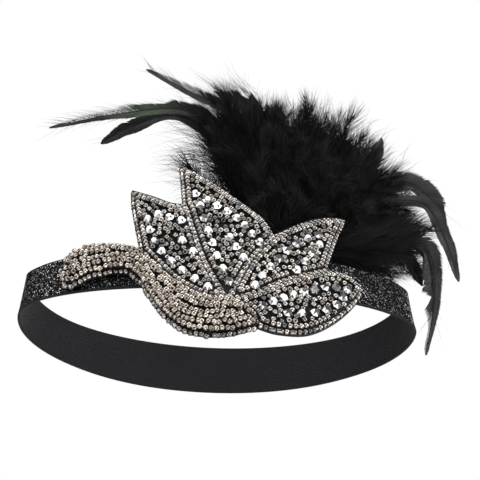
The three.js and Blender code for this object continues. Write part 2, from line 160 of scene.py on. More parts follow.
def throughPoints(points, steps):
    padded = np.vstack([points[0], points, points[-1]])
    share = np.tile(np.arange(steps) / steps, len(points) - 1)[:, None]
    first = np.repeat(np.arange(len(points) - 1), steps)
    before, start, end, after = (padded[first + i] for i in range(4))
    leaving, arriving = (end - before) / 2, (after - start) / 2
    line = ((2 * start - 2 * end + leaving + arriving) * share ** 3
            + (3 * end - 3 * start - 2 * leaving - arriving) * share ** 2 + leaving * share + start)
    return np.vstack([line, points[-1]])


def sweepLine(stations, shares):
    stations = np.asarray(stations, float)
    place = np.clip(np.asarray(shares, float), 0, 1) * (len(stations) - 1)
    first = np.minimum(place.astype(int), len(stations) - 2)
    share = (place - first)[:, None]
    padded = np.vstack([2 * stations[0] - stations[1], stations, 2 * stations[-1] - stations[-2]])
    before, start, end, after = (padded[first + i] for i in range(4))
    gaps = [np.sum((a - b) ** 2, axis=1, keepdims=True) ** 0.25
            for a, b in ((before, start), (start, end), (end, after))]
    leaving = ((start - before) / gaps[0] - (end - before) / (gaps[0] + gaps[1]) + (end - start) / gaps[1])
    arriving = ((end - start) / gaps[1] - (after - start) / (gaps[1] + gaps[2]) + (after - end) / gaps[2])
    leaving, arriving = leaving * gaps[1], arriving * gaps[1]
    return (start + leaving * share + (3 * end - 3 * start - 2 * leaving - arriving) * share ** 2
            + (2 * start - 2 * end + leaving + arriving) * share ** 3)


def lengthAlong(line):
    return np.append(0, np.cumsum(np.linalg.norm(np.diff(line, axis=0), axis=1)))


def readAlong(values, travelled, distances):
    return np.stack([np.interp(distances, travelled, values[:, k]) for k in range(values.shape[1])], -1)


def placesAlong(line, distances):
    return readAlong(line, lengthAlong(line), distances)


# A wire is a value in a material, and sums on it add Math nodes.
class Wire:
    def __init__(self, recipe, socket):
        self.recipe, self.socket = recipe, socket

    def __add__(self, other):
        return self.recipe.maths("ADD", self, other)

    def __sub__(self, other):
        return self.recipe.maths("SUBTRACT", self, other)

    def __rsub__(self, other):
        return self.recipe.maths("SUBTRACT", other, self)

    def __mul__(self, other):
        return self.recipe.maths("MULTIPLY", self, other)

    def __pow__(self, other):
        return self.recipe.maths("POWER", self, other)

    def __gt__(self, other):
        return self.recipe.maths("GREATER_THAN", self, other)

    __radd__ = __add__
    __rmul__ = __mul__


class Recipe:
    def __init__(self, name, **fixed):
        self.material = bpy.data.materials.new(name)
        self.material.use_nodes = True
        self.tree = self.material.node_tree
        self.shader = self.tree.nodes["Principled BSDF"]
        for label, value in fixed.items():
            self.shader.inputs[label.replace("_", " ")].default_value = value

    def node(self, kind, settings=None, inputs=None, output=0):
        made = self.tree.nodes.new(kind)
        for label, value in (settings or {}).items():
            if label == "stops":
                ramp = made.color_ramp
                while len(ramp.elements) < len(value):
                    ramp.elements.new(0.5)
                for element, (position, colour) in zip(ramp.elements, value):
                    element.position, element.color = position, (*colour, 1)
            else:
                setattr(made, label, value)
        for label, value in (inputs or {}).items():
            self.feed(made.inputs[label], value)
        return Wire(self, made.outputs[output])

    def feed(self, socket, value):
        if isinstance(value, Wire):
            self.tree.links.new(value.socket, socket)
        else:
            socket.default_value = value

    def maths(self, operation, *values):
        return self.node("ShaderNodeMath", {"operation": operation}, dict(enumerate(values)))

    def blend(self, share, one, other):
        pair = [(*colour, 1) if isinstance(colour, tuple) else colour for colour in (one, other)]
        return self.node("ShaderNodeMix", {"data_type": "RGBA"}, {0: share, 6: pair[0], 7: pair[1]}, 2)

    def value(self, name):
        return self.node("ShaderNodeAttribute", {"attribute_name": name}, output="Fac")

    def objectPlace(self):
        return self.node("ShaderNodeTexCoord", output="Object")

    def noise(self, scale, detail=3, output=0):
        return self.node("ShaderNodeTexNoise", None,
                         {"Vector": self.objectPlace(), "Scale": scale, "Detail": detail}, output)

    def bump(self, height, strength, distance):
        return self.node("ShaderNodeBump", None, {"Height": height, "Strength": strength, "Distance": distance})

    def finish(self, **links):
        for label, wire in links.items():
            self.feed(self.shader.inputs[label.replace("_", " ")], wire)
        return self.material


# Mesh helpers.
def place(name, mesh, materials, slot, smooth=True):
    piece = bpy.data.objects.new(name, mesh)
    bpy.context.scene.collection.objects.link(piece)
    for material in materials:
        mesh.materials.append(material)
    mesh.polygons.foreach_set("use_smooth", [smooth] * len(mesh.polygons))
    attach(piece, "root")
    return piece


def meshOf(name, work):
    bmesh.ops.recalc_face_normals(work, faces=work.faces)
    mesh = bpy.data.meshes.new(name)
    work.to_mesh(mesh)
    work.free()
    return mesh


def cornersOf(work):
    return np.array([corner.co for corner in work.verts])


def moveCorners(work, places):
    for corner, spot in zip(work.verts, places):
        corner.co = spot


# A shape that is repeated: its corners, and its faces as one list of corner numbers.
def patternOf(work):
    bmesh.ops.recalc_face_normals(work, faces=work.faces)
    work.verts.index_update()
    faces = [[corner.index for corner in face.verts] for face in work.faces]
    pattern = {"corners": cornersOf(work), "loops": np.concatenate(faces),
               "sizes": np.array([len(face) for face in faces])}
    work.free()
    return pattern


def meshOfCopies(name, pattern, corners, values=None):
    copies, count = corners.shape[:2]
    mesh = bpy.data.meshes.new(name)
    mesh.vertices.add(copies * count)
    mesh.vertices.foreach_set("co", corners.astype(np.float32).ravel())
    loops = (pattern["loops"][None] + np.arange(copies)[:, None] * count).ravel()
    sizes = np.tile(pattern["sizes"], copies)
    mesh.loops.add(len(loops))
    mesh.loops.foreach_set("vertex_index", loops.astype(np.int32))
    mesh.polygons.add(len(sizes))
    mesh.polygons.foreach_set("loop_start", (np.cumsum(sizes) - sizes).astype(np.int32))
    for label, value in (values or {}).items():
        spread = np.broadcast_to(value.reshape(copies, -1), (copies, count)).astype(np.float32)
        mesh.attributes.new(label, "FLOAT", "POINT").data.foreach_set("value", spread.ravel())
    mesh.update(calc_edges=True)
    mesh.validate()
    return mesh


def turnedSection(profile, sides, squareEnds=False):
    work = bmesh.new()
    ring = [work.verts.new((radius, 0, height)) for radius, height in profile]
    edges = [work.edges.new(pair) for pair in zip(ring, ring[1:])]
    if not squareEnds:
        edges.append(work.edges.new((ring[-1], ring[0])))
    bmesh.ops.spin(work, geom=ring + edges, cent=(0, 0, 0), axis=(0, 0, 1), angle=2 * math.pi, steps=sides,
                   use_merge=True)
    if squareEnds:
        bmesh.ops.holes_fill(work, edges=work.edges, sides=sides)
    return work


# Tapered strand: a closed cone cut into lengths, so that it can bend.
def strandPattern(sides, lengths):
    work = bmesh.new()
    bmesh.ops.create_cone(work, cap_ends=True, segments=sides, radius1=1, radius2=0, depth=1)
    for k in range(1, lengths):
        bmesh.ops.bisect_plane(work, geom=work.verts[:] + work.edges[:] + work.faces[:],
                               plane_co=(0, 0, k / lengths - 0.5), plane_no=(0, 0, 1))
    bmesh.ops.triangulate(work, faces=[face for face in work.faces if len(face.verts) > 4])
    pattern = patternOf(work)
    pattern["shares"] = pattern["corners"][:, 2] + 0.5
    return pattern


# Strands from their starts: the way that each sets out, the side that it leans to, and its length.
def bentStrands(pattern, starts, ways, sides, lengths, opening, closing, width, flat, fullness=1.0):
    shares = pattern["shares"]
    steps = np.linspace(0, 1, 25)
    angle = opening[:, None] + (closing - opening)[:, None] * steps
    middle = (angle[:, 1:] + angle[:, :-1]) / 2
    forward = np.hstack([0 * middle[:, :1], np.cumsum(np.cos(middle), 1)]) / 24
    sideways = np.hstack([0 * middle[:, :1], np.cumsum(np.sin(middle), 1)]) / 24
    at = np.round(shares * 24).astype(int)
    spine = (starts[:, None] + ways[:, None] * (forward[:, at] * lengths[:, None])[..., None]
             + sides[:, None] * (sideways[:, at] * lengths[:, None])[..., None])
    endWay = unit(ways * np.cos(angle[:, 12])[:, None] + sides * np.sin(angle[:, 12])[:, None])
    across = unit(np.cross(ways, sides))
    inPlane = np.cross(endWay, across)
    radius = np.hypot(pattern["corners"][:, 0], pattern["corners"][:, 1])
    swell = np.where(shares < 1, (1 - shares ** fullness) / np.maximum(1 - shares, 1e-6), 0)
    swell = np.where(radius > 1e-6, swell, 1)
    offset = (inPlane[:, None] * (pattern["corners"][:, 0] * swell)[None, :, None] * width[:, None, None]
              + across[:, None] * (pattern["corners"][:, 1] * swell)[None, :, None] * (width * flat)[:, None, None])
    return spine + offset


# Ribbon: glitter outside, fine lengthwise ribs inside.
ribbonLook = {"steps": 300, "ribs": 24, "ribDepth": 0.12, "selvedge": 0.9, "specks": 2050, "speckShare": 0.13}


def ribbonSection():
    half, face = band["width"] / 2, band["thickness"] / 2
    inner = half - ribbonLook["selvedge"]
    heights = np.linspace(-inner, inner, ribbonLook["ribs"] * 4 + 1)
    waves = np.cos(np.linspace(0, 2 * np.pi * ribbonLook["ribs"], len(heights)))
    groove = ribbonLook["ribDepth"] * (0.5 - 0.5 * waves)
    inside = list(zip(heights, -face + ribbonLook["ribDepth"] - groove))
    rim = [(half - 0.2, -face), (half, -face * 0.6), (half, face * 0.6), (half - 0.2, face)]
    outside = list(zip(np.linspace(inner, -inner, 7), [face - 0.05] * 7))
    under = [(-half + 0.2, face), (-half, face * 0.6), (-half, -face * 0.6), (-half + 0.2, -face)]
    return np.array(inside + rim + outside + under), len(inside) + 1, len(inside) + len(rim) - 2


def makeRibbon(materials):
    section, innerEnd, outerStart = ribbonSection()
    section = np.vstack([section, section[:1]])
    work = bmesh.new()
    bmesh.ops.create_grid(work, x_segments=ribbonLook["steps"], y_segments=len(section) - 1, size=0.5)
    flat = cornersOf(work)
    column = np.round((flat[:, 1] + 0.5) * (len(section) - 1)).astype(int)
    shares = np.round((flat[:, 0] + 0.5) * ribbonLook["steps"]) / ribbonLook["steps"]
    for face in work.faces:
        middle = round((face.calc_center_median().y + 0.5) * (len(section) - 1) - 0.5)
        face.material_index = int(outerStart <= middle < outerStart + 8)
    # Painted shade: each corner stores how far it stands up on a rib, so rib crests are painted lighter and the
    # grooves between them darker.
    ridge = work.verts.layers.float.new("ridge")
    for corner, outward in zip(work.verts, section[column, 1]):
        corner[ridge] = max(1 - (outward + band["thickness"] / 2) / ribbonLook["ribDepth"], 0)
    moveCorners(work, onRing(shares % 1.0, section[column, 0], section[column, 1]))
    bmesh.ops.remove_doubles(work, verts=work.verts, dist=1e-6)
    ribbon = place("ribbon", meshOf("ribbon", work), materials, "ribbon")
    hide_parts("elastic_band")
    return ribbon


ribWeave = Recipe("ribbedElastic", Roughness=0.85, Sheen_Weight=0.08, Sheen_Roughness=0.5, Specular_IOR_Level=0.3)
yarn = ribWeave.noise(2600, 2)
cloud = ribWeave.noise(60, 3)
# Colour: yarn and cloud noise, plus painted shade that lightens the rib crests and darkens the grooves.
ribWeave.finish(Base_Color=ribWeave.blend(yarn * 0.4 + cloud * 0.4 + ribWeave.value("ridge") * 0.5 - 0.2,
                                          (0.007, 0.007, 0.009), (0.027, 0.027, 0.032)),
                Normal=ribWeave.bump(yarn, 0.5, 0.0001))

glitter = Recipe("blackGlitter", Specular_IOR_Level=0.15)
cells = {"Vector": glitter.objectPlace(), "Scale": ribbonLook["specks"]}
speckColour = glitter.node("ShaderNodeTexVoronoi", None, cells, "Color")
channels = {"Color": speckColour}
speck = glitter.node("ShaderNodeSeparateColor", None, channels, "Red")
bright = glitter.node("ShaderNodeSeparateColor", None, channels, "Green")
isSpeck = speck > 1 - ribbonLook["speckShare"]
way = glitter.node("ShaderNodeVectorMath", {"operation": "SUBTRACT"}, {0: speckColour, 1: (0.5, 0.5, 0.5)})
tilt = glitter.node("ShaderNodeVectorMath", {"operation": "SCALE"}, {0: way, "Scale": 0.9})
straight = glitter.node("ShaderNodeNewGeometry", output="Normal")
tilted = glitter.node("ShaderNodeVectorMath", {"operation": "ADD"}, {0: straight, 1: tilt})
glitter.finish(Base_Color=glitter.blend(isSpeck * bright, (0.0015, 0.0015, 0.002), (1, 1, 1)),
               Metallic=isSpeck * 0.65, Roughness=0.75 - isSpeck * 0.5,
               Normal=glitter.node("ShaderNodeVectorMath", {"operation": "NORMALIZE"}, {0: tilted}))

makeRibbon([ribWeave.material, glitter.material])
print("ribbon made")


# Felt and the raised beds of the leaves: flat plates cut to an outline and bent to the ribbon.
feltLook = {"cell": 3.0, "fibres": 900, "bedInset": 1.4, "bedTop": 3.4, "upperMargin": 1.3}


def edgeLine(name, backwards=False):
    line = sprayLine(lines[name])
    return line[::-1] if backwards else line


def outlineOf(*parts):
    outline = np.vstack([part[:-1] for part in parts])
    following = np.roll(outline, -1, axis=0)
    area = np.sum(outline[:, 0] * following[:, 1] - following[:, 0] * outline[:, 1])
    return outline if area > 0 else outline[::-1]


def evenly(outline, step):
    closed = np.vstack([outline, outline[:1]])
    total = lengthAlong(closed)[-1]
    count = max(3, round(total / step))
    return placesAlong(closed, np.arange(count) * total / count)


def nearest(points, others):
    gaps = np.linalg.norm(points[:, None] - others[None], axis=2)
    return gaps.min(axis=1)


# The outline moved out, or in by a negative distance, without the loops that this makes at corners.
# What is added upward widens its upper edges only.
def moved(outline, distance, step=0.5, upward=0.0):
    fine = evenly(outline, step)
    side = unit(np.roll(fine, -1, axis=0) - np.roll(fine, 1, axis=0))
    shifted = fine + np.stack([side[:, 1], -side[:, 0]], -1) * distance
    shifted[:, 1] += upward * np.maximum(-side[:, 0], 0) * (fine[:, 1] > spray["height"] / 5)
    dense = evenly(outline, 0.2)
    return shifted[nearest(shifted, dense) > abs(distance) - 0.06]


def bentPlate(outline, back, face, cell):
    work = bmesh.new()
    ring = [work.verts.new((x, y, 0)) for x, y in outline]
    work.faces.new(ring).normal_update()
    bmesh.ops.triangulate(work, faces=work.faces, ngon_method="EAR_CLIP")
    low, high = outline.min(axis=0), outline.max(axis=0)
    for axis in (0, 1):
        for stop in np.arange(low[axis] + cell, high[axis], cell):
            spot, normal = [0, 0, 0], [0, 0, 0]
            spot[axis], normal[axis] = stop, 1
            bmesh.ops.bisect_plane(work, geom=work.verts[:] + work.edges[:] + work.faces[:],
                                   plane_co=spot, plane_no=normal)
    raised = bmesh.ops.extrude_face_region(work, geom=work.faces[:], use_keep_orig=True)
    top = {corner for corner in raised["geom"] if isinstance(corner, bmesh.types.BMVert)}
    flat = cornersOf(work)
    outward = np.array([face if corner in top else back for corner in work.verts])
    moveCorners(work, onSpray(flat[:, 0], flat[:, 1], outward))
    bmesh.ops.dissolve_degenerate(work, edges=work.edges, dist=1e-6)
    return work


leaves = {
    "left": outlineOf(edgeLine("seamLeft"), edgeLine("leftTop"), edgeLine("leftOuter"),
                      edgeLine("seamNeck", True)),
    "tall": outlineOf(edgeLine("seamLeft"), edgeLine("tallLeft"), edgeLine("tallRight"),
                      edgeLine("seamRight", True)),
    "right": outlineOf(edgeLine("seamRight"), edgeLine("rightTop"), edgeLine("rightOuter"),
                       edgeLine("seamLow", True)),
    "low": outlineOf(edgeLine("seamLow"), edgeLine("lowOuter"), edgeLine("seamBreast", True)),
}
neckTopLine, neckLowLine = sprayLine(neckUpper, 8), sprayLine(neckLower, 8)
overNeck = neckTopLine[neckTopLine[:, 0] < neckTop[0] * spray["width"]]
wholeOutline = outlineOf(neckLowLine[::-1], overNeck, edgeLine("leftOuter", True), edgeLine("leftTop", True),
                         edgeLine("tallLeft"), edgeLine("tallRight"), edgeLine("rightTop"),
                         edgeLine("rightOuter"), edgeLine("lowOuter"))

felt = Recipe("blackFelt", Roughness=0.95, Sheen_Weight=0.25, Sheen_Roughness=0.5, Specular_IOR_Level=0.2)
fibre = felt.noise(feltLook["fibres"], 5)
felt.finish(Base_Color=felt.blend(fibre, (0.004, 0.004, 0.0045), (0.014, 0.014, 0.015)),
            Normal=felt.bump(fibre, 0.8, 0.0003))

cut = moved(wholeOutline, spray["feltMargin"], upward=feltLook["upperMargin"])
backingWork = bentPlate(cut, spray["feltBack"], spray["feltFace"], feltLook["cell"])
backing = place("felt_cloth", meshOf("felt_cloth", backingWork), [felt.material], "felt", False)
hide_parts("felt_backing")
around = np.roll(cut, -1, axis=0)
cutArea = abs(np.sum(cut[:, 0] * around[:, 1] - around[:, 0] * cut[:, 1])) / 2
tuple((cut.max(axis=0) - cut.min(axis=0)) / 1000)
beds = bmesh.new()
for outline in leaves.values():
    bed = bentPlate(moved(outline, -feltLook["bedInset"]), spray["bedBack"], feltLook["bedTop"], feltLook["cell"])
    scratch = bpy.data.meshes.new("scratch")
    bed.to_mesh(scratch)
    bed.free()
    beds.from_mesh(scratch)
    bpy.data.meshes.remove(scratch)
leafBeds = place("leaf_beds", meshOf("leaf_beds", beds), [felt.material], "felt", False)
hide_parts(*[f"beaded_leaf_{name}" for name in leaves])
print("felt and beds made")


# Beads: their patterns, and the frames that they are sewn in.
beadLook = {"seedRadius": 1.44, "seedLength": 2.2, "rowStep": 2.5, "bugleRadius": 1.22, "bugleLength": 3.4,
            "bugleShare": 0.4, "rows": [0.6, 3.15], "fillFrom": 5.0, "fillStep": 2.84, "stoneRadius": 2.7,
            "edgeLift": 2.8, "lift": 4.4, "rowTilt": 0.25, "fillTilt": 1.35, "stoneHeight": 2.4, "stoneGap": 0.7,
            "stoneFree": 0.95, "beadFree": 2.55, "seedEnd": 0.76}
chance = np.random.default_rng(1925)
seedProfile = [(0.4, -0.56), (0.76, -0.76), (1, -0.4), (1, 0.4), (0.76, 0.76), (0.4, 0.56)]
seedPattern = patternOf(turnedSection(seedProfile, 8))
bugleProfile = [(0.42, -0.9), (0.86, -1), (1, -0.86), (1, 0.86), (0.86, 1), (0.42, 0.9)]
buglePattern = patternOf(turnedSection(bugleProfile, 8))


def stonePattern():
    sides = 6
    work = turnedSection([(0.52, 1), (1, 0.32), (0.96, 0.05), (0.6, -0.28)], sides, True)
    flat = cornersOf(work)
    half = np.where((flat[:, 2] > 0.9) | (flat[:, 2] < 0), math.pi / sides, 0)
    turned = np.stack([flat[:, 0] * np.cos(half) - flat[:, 1] * np.sin(half),
                       flat[:, 0] * np.sin(half) + flat[:, 1] * np.cos(half), flat[:, 2]], -1)
    moveCorners(work, turned)
    bmesh.ops.triangulate(work, faces=[face for face in work.faces if len(face.verts) == 4])
    return patternOf(work)


# Copies of a pattern at these places, with each one's own sideways, long and outward ways.
def copiesAt(pattern, centres, ways, outs, radii, halves):
    aside = unit(np.cross(ways, outs))
    outs = np.cross(aside, ways)
    corners = pattern["corners"]
    return (centres[:, None] + aside[:, None] * (corners[None, :, 0] * radii[:, None])[..., None]
            + outs[:, None] * (corners[None, :, 1] * radii[:, None])[..., None]
            + ways[:, None] * (corners[None, :, 2] * halves[:, None])[..., None])


# Centre, long way and outward way of things that lie on the spray at flat places and angles.
def lieOnSpray(spots, angles, outward):
    spots, angles = np.asarray(spots, float), np.asarray(angles, float)
    centre = onSpray(spots[:, 0], spots[:, 1], outward)
    ahead = onSpray(spots[:, 0] + 0.1 * np.cos(angles), spots[:, 1] + 0.1 * np.sin(angles), outward)
    above = onSpray(spots[:, 0], spots[:, 1], outward + 0.1)
    return centre, unit(ahead - centre), unit(above - centre)


def stoneSpots(leaf):
    spots = []
    for row in stoneRows:
        if row["leaf"] == leaf:
            line = throughPoints(sprayLine(row["line"], 2), 12)
            spots.append(placesAlong(line, np.linspace(0, lengthAlong(line)[-1], row["count"])))
    return np.vstack(spots)


def beadRow(line, closed, mixed):
    ring = np.vstack([line, line[:1]]) if closed else line
    travelled = lengthAlong(ring)
    at, beads = 0.0, []
    while at < travelled[-1] - beadLook["rowStep"] / 2:
        bugle = mixed and chance.random() < beadLook["bugleShare"]
        span = beadLook["bugleLength"] + 0.2 if bugle else beadLook["rowStep"] * chance.uniform(0.95, 1.15)
        middle = placesAlong(ring, [at + span / 2])[0]
        ends = placesAlong(ring, [at + span * 0.2, at + span * 0.8])
        way = ends[1] - ends[0]
        beads.append((*middle, math.atan2(way[1], way[0]), bugle))
        at += span
    return beads


def fillSpots(outline, taken, sizes):
    dense = evenly(outline, 0.3)
    low, high = outline.min(axis=0), outline.max(axis=0)
    columns, rows = (np.arange(low[axis], high[axis], 0.4) for axis in (0, 1))
    grid = np.stack(np.meshgrid(columns, rows), -1).reshape(-1, 2)
    grid = grid + chance.uniform(-0.15, 0.15, grid.shape)
    inside = insideOutline(grid, dense)
    grid = grid[inside & (nearest(grid, dense) > beadLook["fillFrom"])]
    room = (np.linalg.norm(grid[:, None] - taken[None], axis=2) - sizes[None]).min(axis=1)
    spots = []
    while room.max() >= 0:
        best = np.argmin(np.where(room >= 0, room, 99))
        spots.append(grid[best])
        room = np.minimum(room, np.linalg.norm(grid - grid[best], axis=1) - beadLook["fillStep"])
    return np.array(spots).reshape(-1, 2)


def insideOutline(points, outline):
    after = np.roll(outline, -1, axis=0)
    x, y = points[:, :1], points[:, 1:]
    crosses = (outline[None, :, 1] > y) != (after[None, :, 1] > y)
    slope = np.where(after[:, 1] == outline[:, 1], 1, after[:, 1] - outline[:, 1])
    at = outline[None, :, 0] + (y - outline[None, :, 1]) * (after[:, 0] - outline[:, 0])[None] / slope[None]
    return (crosses & (x < at)).sum(axis=1) % 2 == 1


seeds, bugles, stones = [], [], []
for leaf, outline in leaves.items():
    gems = stoneSpots(leaf)
    stones.append(gems)
    border = beadRow(moved(outline, -beadLook["rows"][0], 0.3), True, True)
    second = beadRow(moved(outline, -beadLook["rows"][1], 0.3), True, False)
    apart = nearest(np.array([bead[:2] for bead in second]), gems)
    second = [bead for bead, gap in zip(second, apart) if gap > beadLook["stoneRadius"] + beadLook["stoneGap"]]
    for row, height in ((border, beadLook["edgeLift"]), (second, beadLook["lift"])):
        for bead in row:
            (bugles if bead[3] else seeds).append((*bead[:3], height, beadLook["rowTilt"]))
    rowSpots = np.array([bead[:2] for bead in border + second])
    taken = np.vstack([gems, rowSpots])
    sizes = np.append(np.full(len(gems), beadLook["stoneRadius"] + beadLook["stoneFree"]),
                      np.full(len(rowSpots), beadLook["beadFree"]))
    for spot in fillSpots(outline, taken, sizes):
        seeds.append((*spot, chance.uniform(0, 2 * math.pi), beadLook["lift"], beadLook["fillTilt"]))
seeds, bugles, stones = np.array(seeds), np.array(bugles), np.vstack(stones)
print("leaf beads", len(seeds), len(bugles), len(stones))

pewter = Recipe("pewterBeads", Metallic=1.0)
warmth = pewter.value("warmth")
shade = pewter.value("shade")
grime = pewter.noise(1500, 2)
cool = pewter.blend(shade, (0.12, 0.116, 0.118), (0.6, 0.585, 0.575))
warm = pewter.blend(shade, (0.34, 0.295, 0.255), (0.8, 0.72, 0.635))
pewter.finish(Base_Color=pewter.blend(warmth, cool, warm), Roughness=0.1 + grime * 0.16)


def beadValues(count, middle, spread):
    return {"warmth": np.clip(chance.normal(middle, spread, count), 0, 1), "shade": chance.uniform(0, 1, count)}


def outwardTilt(ways, outs, most):
    lift = (chance.uniform(-1, 1, len(ways)) * most)[:, None]
    return unit(ways * np.cos(lift) + outs * np.sin(lift))


seedHalf = beadLook["seedLength"] / 2 / beadLook["seedEnd"] / 1000
radii = beadLook["seedRadius"] * chance.uniform(0.95, 1.04, len(seeds))
centre, way, out = lieOnSpray(seeds[:, :2], seeds[:, 2] + chance.normal(0, 0.12, len(seeds)), seeds[:, 3])
way = outwardTilt(way, out, seeds[:, 4])
corners = copiesAt(seedPattern, centre, way, out, radii / 1000,
                   seedHalf * chance.uniform(0.92, 1.06, len(seeds)))
place("leaf_seed_beads", meshOfCopies("leaf_seed_beads", seedPattern, corners,
                                      beadValues(len(seeds), 0.3, 0.25)), [pewter.material], "seed_beads")

radii = np.full(len(bugles), beadLook["bugleRadius"])
centre, way, out = lieOnSpray(bugles[:, :2], bugles[:, 2], bugles[:, 3] - 0.1)
corners = copiesAt(buglePattern, centre, outwardTilt(way, out, 0.06), out, radii / 1000,
                   beadLook["bugleLength"] / 2000 * chance.uniform(0.92, 1.02, len(bugles)))
place("bugle_beads", meshOfCopies("bugle_beads", buglePattern, corners, beadValues(len(bugles), 0.2, 0.2)),
      [pewter.material], "seed_beads")

gemPattern = stonePattern()
centre, way, out = lieOnSpray(stones, chance.uniform(0, 2 * math.pi, len(stones)),
                              np.full(len(stones), spray["bedFace"]))
lean = chance.uniform(-0.2, 0.2, (len(stones), 2))
aside = np.cross(way, out)
tipped = unit(out + way * lean[:, :1] + aside * lean[:, 1:])
corners = copiesAt(gemPattern, centre + out * 0.0001, tipped, aside,
                   np.full(len(stones), beadLook["stoneRadius"] / 1000),
                   np.full(len(stones), beadLook["stoneHeight"] / 1000))
cutGlass = Recipe("cutStones", Metallic=0.92)
facet = cutGlass.value("shade")
haze = cutGlass.noise(700, 2)
cutGlass.finish(Base_Color=cutGlass.blend(facet, (0.5, 0.495, 0.505), (0.95, 0.94, 0.93)),
                Roughness=0.04 + haze * 0.08)
place("cut_stones", meshOfCopies("cut_stones", gemPattern, corners, beadValues(len(stones), 0.2, 0.1)),
      [cutGlass.material], "cut_stones", False)


# Neck and breast: a padded roll, and rows of beads that follow its two edges.
neckLook = {"rounds": 20, "rowStep": 2.55, "first": 0.4, "rowGap": 2.62, "rows": 9, "beadSize": 1.03,
            "edgeSize": 1.02, "edgeTwist": 0.08, "twist": 0.75, "edgeWarmth": 0.25, "warmth": 0.85,
            "tilt": 0.8, "jitter": 0.24}
neckWidths = np.linalg.norm(neckTopLine - neckLowLine, axis=1)


# The roll at a station, as places from its upper edge to its lower one: along, height, outward.
def neckSection(i, turns, lift=0.0):
    width = neckWidths[i]
    inset = min(spray["seam"] / width / 2, 0.5)
    share = inset + (1 - 2 * inset) * (1 - np.cos(turns)) / 2
    flat = neckTopLine[i] + (neckLowLine[i] - neckTopLine[i]) * share[:, None]
    height = spray["crown"] * math.sqrt(width / neckWidths.max())
    slopeX = (1 - 2 * inset) * width / 2 * np.sin(turns)
    slopeY = height * np.cos(turns)
    size = np.maximum(np.hypot(slopeX, slopeY), 1e-6)
    across = (neckLowLine[i] - neckTopLine[i]) / width
    shift = -across * (slopeY / size * lift)[:, None]
    return np.column_stack([flat + shift, spray["bedBack"] + height * np.sin(turns) + slopeX / size * lift])


def makePadding():
    rounds, last = neckLook["rounds"], len(neckWidths) - 1
    work = bmesh.new()
    bmesh.ops.create_grid(work, x_segments=last, y_segments=rounds + 1, size=0.5)
    flat = cornersOf(work)
    station = np.round((flat[:, 0] + 0.5) * last).astype(int)
    around = np.round((flat[:, 1] + 0.5) * (rounds + 1)).astype(int) % (rounds + 1)
    places = np.empty((len(flat), 3))
    for i in range(last + 1):
        ring = neckSection(i, np.linspace(0, np.pi, rounds + 1))
        if i in (0, last):
            ring = np.tile([*(neckTopLine[i] + neckLowLine[i]) / 2, spray["bedBack"]], (rounds + 1, 1))
        places[station == i] = ring[around[station == i]]
    moveCorners(work, onSpray(*places.T))
    bmesh.ops.remove_doubles(work, verts=work.verts, dist=1e-6)
    return work


padding = place("neck_padding", meshOf("neck_padding", makePadding()), [felt.material], "felt")
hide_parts("beaded_neck")

neckBeads = {"centre": [], "way": [], "out": [], "warmth": [], "size": []}
turnSteps = np.linspace(0, np.pi, 61)
surface = [neckSection(i, turnSteps) for i in range(len(neckWidths))]
arcs = [lengthAlong(section) for section in surface]
beadLift = beadLook["seedRadius"] * 0.9


def addNeckRow(distance, fromLower):
    stretch = []
    for i in range(1, len(neckWidths) - 1):
        whole = arcs[i][-1]
        if distance <= whole / 2 + (0.4 if fromLower else -0.9):
            turn = np.interp(whole - distance if fromLower else distance, arcs[i], turnSteps)
            pair = [neckSection(i, np.array([turn]), lift)[0] for lift in (beadLift, beadLift + 0.1)]
            stretch.append(pair)
        elif stretch:
            layNeckRow(stretch, distance)
            stretch = []
    layNeckRow(stretch, distance)


def layNeckRow(stretch, distance):
    if len(stretch) < 4:
        return
    pairs = np.array(stretch)
    line, above = onSpray(*pairs[:, 0].T), onSpray(*pairs[:, 1].T)
    travelled = lengthAlong(line) * 1000
    at = np.cumsum(neckLook["rowStep"] * chance.uniform(0.92, 1.14, int(travelled[-1] / neckLook["rowStep"])))
    at = at[at < travelled[-1] - 0.5]
    onEdge = distance < 1.5
    twist = chance.normal(0, neckLook["edgeTwist" if onEdge else "twist"], len(at))[:, None]
    centre = readAlong(line, travelled, at)
    neckBeads["centre"].append(centre)
    ahead = unit(readAlong(line, travelled, at + 0.7) - readAlong(line, travelled, at - 0.7))
    out = unit(readAlong(above, travelled, at) - centre)
    neckBeads["way"].append(ahead * np.cos(twist) + np.cross(out, ahead) * np.sin(twist))
    neckBeads["out"].append(out)
    warmth = chance.normal(neckLook["edgeWarmth" if onEdge else "warmth"], 0.15, len(at))
    neckBeads["warmth"].append(np.clip(warmth, 0, 1))
    neckBeads["size"].append(np.full(len(at), neckLook["edgeSize" if onEdge else "beadSize"]))


for k in range(neckLook["rows"]):
    addNeckRow(neckLook["first"] + k * neckLook["rowGap"], True)
    addNeckRow(neckLook["first"] + k * neckLook["rowGap"], False)
neckBeads = {label: np.concatenate(values) for label, values in neckBeads.items()}
count = len(neckBeads["size"])
radii = beadLook["seedRadius"] * neckBeads["size"] * chance.uniform(0.93, 1.04, count) / 1000
jitter = chance.normal(0, neckLook["jitter"] / 1000, (count, 3))
corners = copiesAt(seedPattern, neckBeads["centre"] + jitter,
                   outwardTilt(neckBeads["way"], neckBeads["out"], neckLook["tilt"]),
                   neckBeads["out"], radii, seedHalf * neckBeads["size"])
place("neck_seed_beads", meshOfCopies("neck_seed_beads", seedPattern, corners,
                                      {"warmth": neckBeads["warmth"], "shade": chance.uniform(0, 1, count)}),
      [pewter.material], "seed_beads")
print("neck beads", count)


